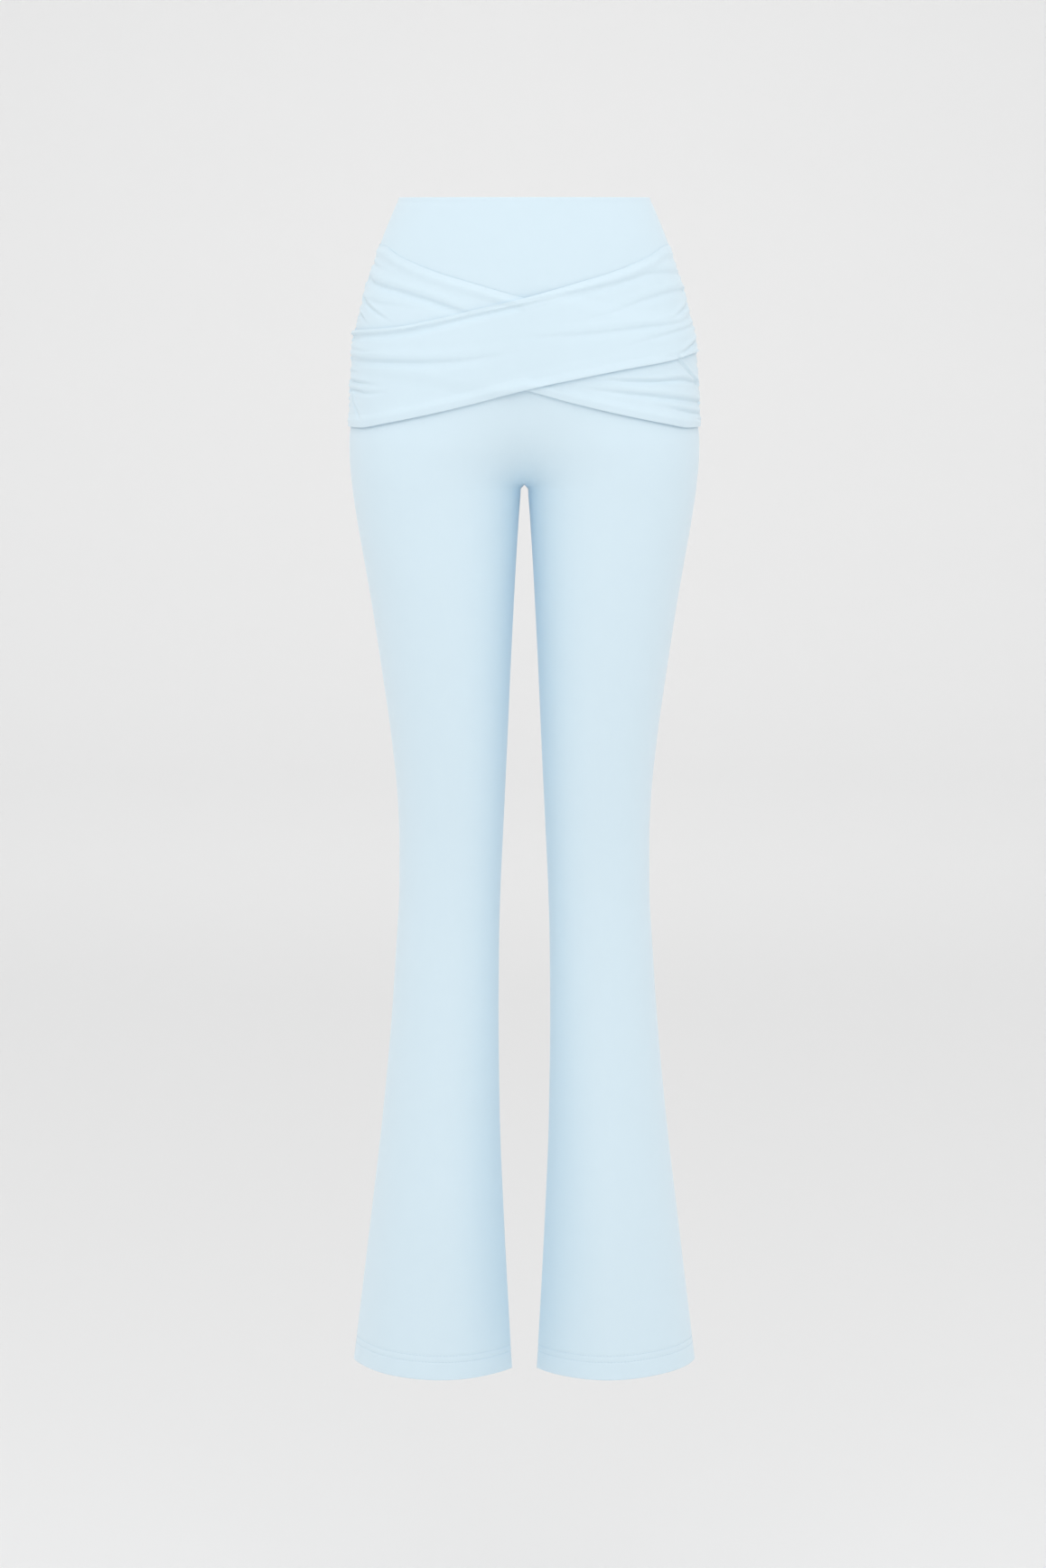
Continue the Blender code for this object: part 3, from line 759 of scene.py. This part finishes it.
# %% [markdown]
# ## Creases
#
# Where jersey is gathered into a seam, each gather starts as a small tuck and runs out into the panel as a
# soft ridge with a sharper crease under it. No two are alike, so they are placed one by one. A crease is a
# short row of places on the cloth, with how deep it sinks, how high the cloth rolls above it, how wide that
# roll is, and how much of its length fades out towards each end.

# %% Creases of the crossed bands
Spot = namedtuple("Spot", "turn drop")
Crease = namedtuple("Crease", "spots depth roll width fade_start fade_end")


def crease(spots, depth, roll, width, fade_start=0.0, fade_end=0.5):
    """Sizes in millimetres, drops too, and turns in thousandths, to keep the tables readable."""
    places = sorted(Spot(turn / 1000, drop / 1000) for turn, drop in spots)
    return Crease(places, depth / 1000, roll / 1000, width / 1000, fade_start, fade_end)


OVER_CREASES = [
    crease([(0, 70), (57, 69.8), (160, 70.1), (240, 76.3), (309, 81.8), (433, 91.0), (560, 101.4)],
           1.0, 0.5, 8, 0.0, 0.35),
    crease([(1000, 130), (857, 125.5), (783, 123.7), (664, 112.1), (550, 100.4), (433, 91.0), (340, 84.2)],
           2.3, 0.9, 9, 0.0, 0.35),
    crease([(0, 86), (88, 87.0), (216, 95.4), (300, 105.7), (400, 115)], 1.3, 0.6, 7, 0.02, 0.7),
    crease([(0, 98), (55, 102.2), (127, 111.1), (160, 116)], 1.3, 0.7, 4, 0.0, 0.6),
    crease([(0, 92), (30, 96), (62, 103)], 1.2, 0.6, 3, 0.0, 0.7),
    crease([(0, 108), (103, 115.8), (229, 119.9), (380, 125.8), (560, 129)], 1.2, 0.6, 8, 0.0, 0.6),
    crease([(0, 117), (117, 123.1), (214, 129.8), (310, 141)], 1.3, 0.6, 6, 0.0, 0.7),
    crease([(0, 131), (67, 136.7), (128, 143.6), (215, 149)], 1.6, 0.8, 4, 0.0, 0.7),
    crease([(1000, 149), (941, 150.0), (845, 151.3), (743, 151.8), (657, 150.5), (558, 144.1), (480, 139)],
           2.3, 1.1, 9, 0.0, 0.65),
    crease([(1000, 169), (939, 169.9), (854, 171.5), (810, 172)], 1.8, 0.9, 4, 0.0, 0.7),
    crease([(1000, 177), (935, 177.8), (868, 179.9), (780, 178)], 1.8, 0.8, 4.5, 0.0, 0.7),
    crease([(1000, 160), (960, 161), (905, 162)], 1.1, 0.6, 3.5, 0.0, 0.8),
    crease([(1000, 176), (945, 184), (921, 193.0), (882, 204.1), (860, 208)], 1.7, 0.9, 4, 0.0, 0.5),
    crease([(1000, 140), (950, 141), (880, 142), (800, 141)], 0.8, 0.6, 5, 0.0, 0.8),
]
UNDER_CREASES = [
    crease([(1000, 73), (930, 78.8), (804, 87.6), (732, 94.3), (678, 100.7), (600, 109)],
           2.2, 1.0, 8, 0.0, 0.25),
    crease([(1000, 92), (879, 97.6), (781, 101.1), (720, 103)], 0.7, 0.5, 6, 0.0, 0.7),
    crease([(1000, 91), (935, 98.0), (882, 105.0), (833, 112.1), (800, 116)], 1.5, 0.9, 4, 0.0, 0.5),
    crease([(1000, 105), (935, 111.2), (900, 116.7), (880, 120)], 1.2, 0.6, 3, 0.0, 0.6),
    crease([(0, 171.5), (54, 170.8), (137, 167.4), (212, 168.5), (302, 167.1), (400, 164)],
           1.9, 1.0, 5, 0.0, 0.45),
    crease([(0, 190), (105, 186.9), (182, 183.6), (275, 179.6), (353, 175.4), (420, 172)],
           1.9, 1.0, 6, 0.0, 0.5),
    crease([(0, 201), (66, 199.0), (128, 196.5), (184, 192.6), (240, 189)], 1.7, 0.8, 5, 0.0, 0.6),
    crease([(20, 176), (79, 164.7), (106, 157.8), (131, 150.2), (150, 144)], 1.4, 0.8, 4, 0.2, 0.1),
    crease([(0, 206), (50, 205), (110, 203)], 0.8, 0.4, 3.5, 0.0, 0.7),
    crease([(1000, 60), (930, 64), (850, 70)], 0.7, 0.4, 4, 0.0, 0.8),
]
print(f"creases: {len(OVER_CREASES)} on the upper band and {len(UNDER_CREASES)} on the one beneath")

# %% [markdown]
# The band's height above the form is then one sum. It starts as an even, slightly puffed lie, rises by each
# roll and sinks by each crease, and never sinks below what it lies on.

# %% Height of gathered cloth
SLOPE_STEP = 0.004  # of a turn, over which a crease's slope is taken
LEAST_FADE = 0.001
SHARP_SIDE, SOFT_SIDE = 0.22, 0.55  # of a crease's width: sharp under its roll, soft below
ROLL_AT, ROLL_WIDTH = 0.75, 0.5  # of that width: how far above the crease its roll lies, and how wide
PUFF = 0.0023
FLAT_END_PUFF = 0.25  # of the puff is left at the pieces' narrow upper ends
PUCKER, PUCKER_REACH = 0.0005, 0.011  # how high, and how far in from a side seam
PUCKER_STEP, SMALL_PUCKER_STEP = 0.0085, 0.0053
WANDER, WANDER_STEP = 0.35, 0.011  # so that no two puckers are as far apart
LEVEL_WITH_SEAM = 0.006  # how far in from a side seam a piece takes on its own height
EDGE_EASE = 0.012  # how far in from its edges gathered cloth has its full height
SeamStand = namedtuple("SeamStand", "drop height")
SEAM_STANDS = [  # how far all that meets at a side seam stands off the hips
    SeamStand(0.043, 0.0000),
    SeamStand(0.055, 0.0000),
    SeamStand(0.067, 0.0012),
    SeamStand(0.085, 0.0034),
    SeamStand(0.102, 0.0024),
    SeamStand(0.140, 0.0022),
    SeamStand(0.180, 0.0030),
    SeamStand(0.200, 0.0028),
    SeamStand(0.213, 0.0016),
]


def crease_height(creases, turn, drop):
    """What the creases add to the height of the cloth, or take away."""
    height = np.zeros(np.broadcast(turn, drop).shape)
    for fold in creases:
        first, last = fold.spots[0].turn, fold.spots[-1].turn
        at = read_between(fold.spots, "turn", "drop", turn)
        slope = (read_between(fold.spots, "turn", "drop", turn + SLOPE_STEP) - at) / (SLOPE_STEP * FORM_ROUND)
        below = (drop - at) / np.sqrt(1 + slope**2)
        run = np.clip((turn - first) / (last - first), -0.2, 1.2)
        if last >= 1.0:  # it starts at the right side seam
            run = 1 - run
        fade_in = smooth_step(-LEAST_FADE, max(fold.fade_start, LEAST_FADE), run)
        fade = fade_in * (1 - smooth_step(1 - fold.fade_end, 1.0, run))
        sharp, soft = fold.width * SHARP_SIDE, fold.width * SOFT_SIDE
        trough = np.exp(-((below / np.where(below < 0, sharp, soft)) ** 2))
        roll = np.exp(-(((below + fold.width * ROLL_AT) / (fold.width * ROLL_WIDTH)) ** 2))
        height += fade * (fold.roll * roll - fold.depth * trough)
    return height


def puckers(drop, seed):
    """The small tucks where cloth is gathered into a side seam."""
    wander = WANDER * np.sin(drop / WANDER_STEP + seed)
    wave = np.sin(math.tau * (drop / PUCKER_STEP + wander) + 2 * seed)
    return PUCKER * (wave + 0.6 * np.sin(math.tau * drop / SMALL_PUCKER_STEP + 5 * seed))


def lie(turn, drop, top, bottom, creases, seed):
    """How far gathered cloth stands off what it lies on. Pieces that meet at a side seam are level there."""
    from_seam = np.minimum(turn, 1 - turn) * FORM_ROUND
    from_edge = np.minimum(drop - top, bottom - drop)
    full = smooth_step(-0.006, EDGE_EASE, from_edge)
    full = full * (FLAT_END_PUFF + (1 - FLAT_END_PUFF) * smooth_step(0.045, 0.085, drop))
    at_seam = read_between(SEAM_STANDS, "drop", "height", drop)
    at_seam = at_seam + puckers(drop, 0.4 + (turn > 0.5)) * smooth_step(0.043, 0.067, drop)
    at_seam = at_seam * (0.5 + 0.5 * smooth_step(0.0, EDGE_EASE, bottom - drop))
    tucks = puckers(drop, seed) * np.exp(-from_seam / PUCKER_REACH)
    height = np.maximum(PUFF * full + crease_height(creases, turn, drop) + tucks, 0.0)
    return at_seam + (height - at_seam) * smooth_step(0.0, LEVEL_WITH_SEAM, from_seam)


# %% [markdown]
# ## The crossed bands and the back of the overskirt
#
# The two bands are one shape and its mirror image. The one from the wearer's left hip lies on top, and its
# top edge is rolled over into a soft cord, which starts flat at the hip and is full from the middle on. Their
# hems stand a little off the thigh, so that a thin line of shade lies under them.

# %% Overskirt
BAND_WALL = 0.0012
BAND_RIM = 0.0006
BAND_COLUMNS, BAND_ROWS = 230, 96
OVERSKIRT_GIRTH_DROP = 0.15  # the pieces' length is taken at this drop
HEM_STAND, HEM_STAND_REACH = 0.0013, 0.018
PRESSED_WITHIN = 0.009  # of the over band's edge, where what is beneath goes flat
EdgeRoll = namedtuple("EdgeRoll", "along width height")
EDGE_ROLLS = [  # of the over band's top edge, from the wearer's left side seam to the right one
    EdgeRoll(0.00, 0.0200, 0.0002),
    EdgeRoll(0.16, 0.0150, 0.0002),
    EdgeRoll(0.30, 0.0110, 0.0003),
    EdgeRoll(0.42, 0.0080, 0.0006),
    EdgeRoll(0.52, 0.0060, 0.0015),
    EdgeRoll(0.65, 0.0050, 0.0016),
    EdgeRoll(1.00, 0.0045, 0.0014),
]
THIN_EDGE, THIN_EDGE_WIDTH = 0.25, 0.008  # the top edges are steamed flat, to this share of their thickness
BOTH_BANDS_START = (0.118, 0.126)  # both bands lie on the side seams from here
BOTH_BANDS_END = (0.149, 0.141)  # down to here, where the step is the other way round
BESIDE_SEAM = 0.020


def under_band_here(turn, drop):
    """1 where the under band lies beneath the over band or close beside it, 0 well away from it."""
    return smooth_step(-0.016, -0.002, inset(BAND_EDGES, 1 - turn, drop))


def under_band_shows(turn, drop):
    """1 where the under band is in sight, 0 where the over band presses it flat."""
    return smooth_step(PRESSED_WITHIN, 0.0, inset(BAND_EDGES, turn, drop))


def hem_stand(turn, drop, bottom):
    """How far a lower edge stands off the thigh. It is sewn down at its two ends."""
    across = np.sin(np.pi * np.clip(turn, 0, 1)) ** 0.6
    return HEM_STAND * across * smooth_step(HEM_STAND_REACH, 0.0, bottom - drop)


def under_lift(turn, drop, top, bottom):
    """The under band lies on the legs, and its own relief dies away under the over band."""
    relief = lie(turn, drop, top, bottom, UNDER_CREASES, 1.3) + hem_stand(turn, drop, bottom)
    return LAID_GAP - SINK * covered(FRONT, turn, drop) + under_band_shows(turn, drop) * relief


def over_lift(turn, drop, top, bottom):
    """The over band lies on the under band and, beside it, on the legs. It is rolled along its top edge."""
    down_roll = (drop - top) / read_between(EDGE_ROLLS, "along", "width", turn)
    height = read_between(EDGE_ROLLS, "along", "height", turn)
    roll = height * smooth_step(0.0, 0.75, down_roll) * smooth_step(1.05, 0.75, down_roll)
    under_top = read_between(BAND_EDGES, "along", "top", 1 - turn)
    under_bottom = read_between(BAND_EDGES, "along", "bottom", 1 - turn)
    on_legs = LAID_GAP - SINK * covered(FRONT, turn, drop)
    on_under = under_lift(turn, drop, under_top, under_bottom) + BAND_WALL + LAID_GAP
    bed = on_legs + under_band_here(turn, drop) * (on_under - on_legs)
    return bed + roll + lie(turn, drop, top, bottom, OVER_CREASES, 0.4) + hem_stand(turn, drop, bottom)


def make_overskirt_piece(name, half, edges, starts_at, lift):
    """A gathered piece between its two edges, laid on the form."""
    length = 2 * half_length(half, OVERSKIRT_GIRTH_DROP)
    along = edge_spaced(BAND_COLUMNS, length, BAND_RIM)
    share = along / length
    turn = share if starts_at == LEFT else 1 - share
    top = read_between(edges, "along", "top", share)
    bottom = read_between(edges, "along", "bottom", share)
    drop = top + edge_spaced(BAND_ROWS, bottom - top, BAND_RIM).T
    rim = np.minimum(np.minimum(along, length - along)[None, :], np.minimum(drop - top, bottom - drop))
    turn = np.broadcast_to(turn, drop.shape)
    wall = BAND_WALL * (THIN_EDGE + (1 - THIN_EDGE) * smooth_step(0.0, THIN_EDGE_WIDTH, drop - top))
    outer, inner = wall_faces(
        lambda out: around_form(half, turn, drop, out), lift(turn, drop, top, bottom), wall, rim, BAND_RIM
    )
    cloth = np.stack([np.broadcast_to(along, drop.shape), -drop], axis=-1)
    return make_wall(name, outer, inner, cloth, overskirt_jersey)


BACK_CREASES = [
    crease([(0, 66), (120, 72), (240, 79), (330, 84)], 1.4, 0.8, 5, 0.0, 0.6),
    crease([(0, 84), (70, 88), (150, 95)], 1.2, 0.7, 4, 0.0, 0.7),
    crease([(0, 103), (130, 110), (280, 117), (420, 121)], 1.5, 0.9, 6, 0.0, 0.6),
    crease([(0, 122), (60, 125), (130, 131)], 1.1, 0.6, 4, 0.0, 0.7),
    crease([(0, 141), (150, 149), (300, 155), (390, 157)], 1.5, 0.9, 6, 0.0, 0.6),
    crease([(0, 164), (80, 167), (170, 171)], 1.2, 0.7, 4.5, 0.0, 0.7),
    crease([(0, 184), (110, 190), (220, 196), (310, 199)], 1.3, 0.8, 5, 0.0, 0.6),
    crease([(1000, 61), (900, 66), (780, 74), (650, 80)], 1.4, 0.8, 5, 0.0, 0.6),
    crease([(1000, 79), (930, 83), (860, 89)], 1.2, 0.7, 4, 0.0, 0.7),
    crease([(1000, 98), (880, 106), (740, 115), (620, 119)], 1.5, 0.9, 6, 0.0, 0.6),
    crease([(1000, 118), (940, 121), (850, 128)], 1.1, 0.6, 4, 0.0, 0.7),
    crease([(1000, 137), (870, 146), (720, 153), (580, 156)], 1.5, 0.9, 6, 0.0, 0.6),
    crease([(1000, 158), (930, 162), (840, 169)], 1.2, 0.7, 4.5, 0.0, 0.7),
    crease([(1000, 180), (900, 187), (800, 193), (720, 196)], 1.3, 0.8, 5, 0.0, 0.6),
    crease([(1000, 198), (940, 200), (880, 203)], 0.9, 0.5, 4, 0.0, 0.7),
]


def back_lift(turn, drop, top, bottom):
    """The back lies on the legs. At the side seams it rises to the height of the two bands that end there."""
    relief = lie(turn, drop, top, bottom, BACK_CREASES, 2.1) + hem_stand(turn, drop, bottom)
    both_bands = smooth_step(*BOTH_BANDS_START, drop) * smooth_step(*BOTH_BANDS_END, drop)
    beside_seam = smooth_step(BESIDE_SEAM, 0.0, np.minimum(turn, 1 - turn) * FORM_ROUND)
    relief = relief + (BAND_WALL + LAID_GAP) * both_bands * beside_seam
    return LAID_GAP - SINK * covered(BACK, turn, drop) + relief


under_band = make_overskirt_piece("under_band", FRONT, BAND_EDGES, RIGHT, under_lift)
over_band = make_overskirt_piece("over_band", FRONT, BAND_EDGES, LEFT, over_lift)
back_skirt = make_overskirt_piece("back_overskirt", BACK, BACK_EDGES, LEFT, back_lift)
for piece, node, flat, area in (
    (under_band, "band_under", (0.46, 0.17), 0.042),
    (over_band, "band_over", (0.46, 0.17), 0.042),
    (back_skirt, "overskirt_back", (0.46, 0.18), 0.075),
):
    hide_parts(node)

# %% [markdown]
# ## Hem stitching
#
# Jersey hems are sewn with a twin needle, which lays two rows of stitches side by side so that the seam can
# stretch. Each stitch is a small rounded bead of thread, and a loop sets them round the leg.

# %% Stitches
STITCH, STITCH_GAP, THREAD = 0.0026, 0.0006, 0.00032
STITCH_AT = 0.45  # of the way to the next stitch, a stitch's middle
RING_STEPS = 160  # on half a leg


def hem_ring(side, above_hem):
    """Evenly spaced places for stitches, round a leg's face at a distance above its hem."""
    share = np.linspace(0, 1, RING_STEPS)
    loops = []
    for half, run in ((FRONT, share), (BACK, share[::-1])):
        drop = hem_drop(run) - above_hem
        loops.append(on_form(half, side, run, drop, flutes(half, side, run, drop) - SEWN_DIP))
    ring = np.concatenate(loops + [loops[0][:1]])
    steps = np.linalg.norm(np.diff(ring, axis=0), axis=1)
    along = np.concatenate([[0], np.cumsum(steps)])
    count = int(along[-1] / (STITCH + STITCH_GAP))
    at = np.arange(count) * along[-1] / count
    return np.stack([np.interp(at, along, ring[:, k]) for k in range(3)], axis=1)


def make_hem_stitches(side, name):
    sewing = bmesh.new()
    count = 0
    for line in NEEDLE_LINES:
        ring = hem_ring(side, line)
        for place, following in zip(ring, np.roll(ring, -1, axis=0)):
            here, there = Vector(place), Vector(following)
            turn = (there - here).to_track_quat("X", "Z").to_matrix().to_4x4()
            size = Matrix.Diagonal((STITCH / 2, THREAD, THREAD, 1))
            matrix = Matrix.Translation(here.lerp(there, STITCH_AT)) @ turn @ size
            bmesh.ops.create_uvsphere(sewing, u_segments=6, v_segments=4, radius=1.0, matrix=matrix)
            count += 1
    piece = finish_piece(sewing, name, thread)
    print(f"{name}: {count} stitches")
    return piece


for side, side_name in ((LEFT, "left"), (RIGHT, "right")):
    make_hem_stitches(side, f"hem_stitches_{side_name}")
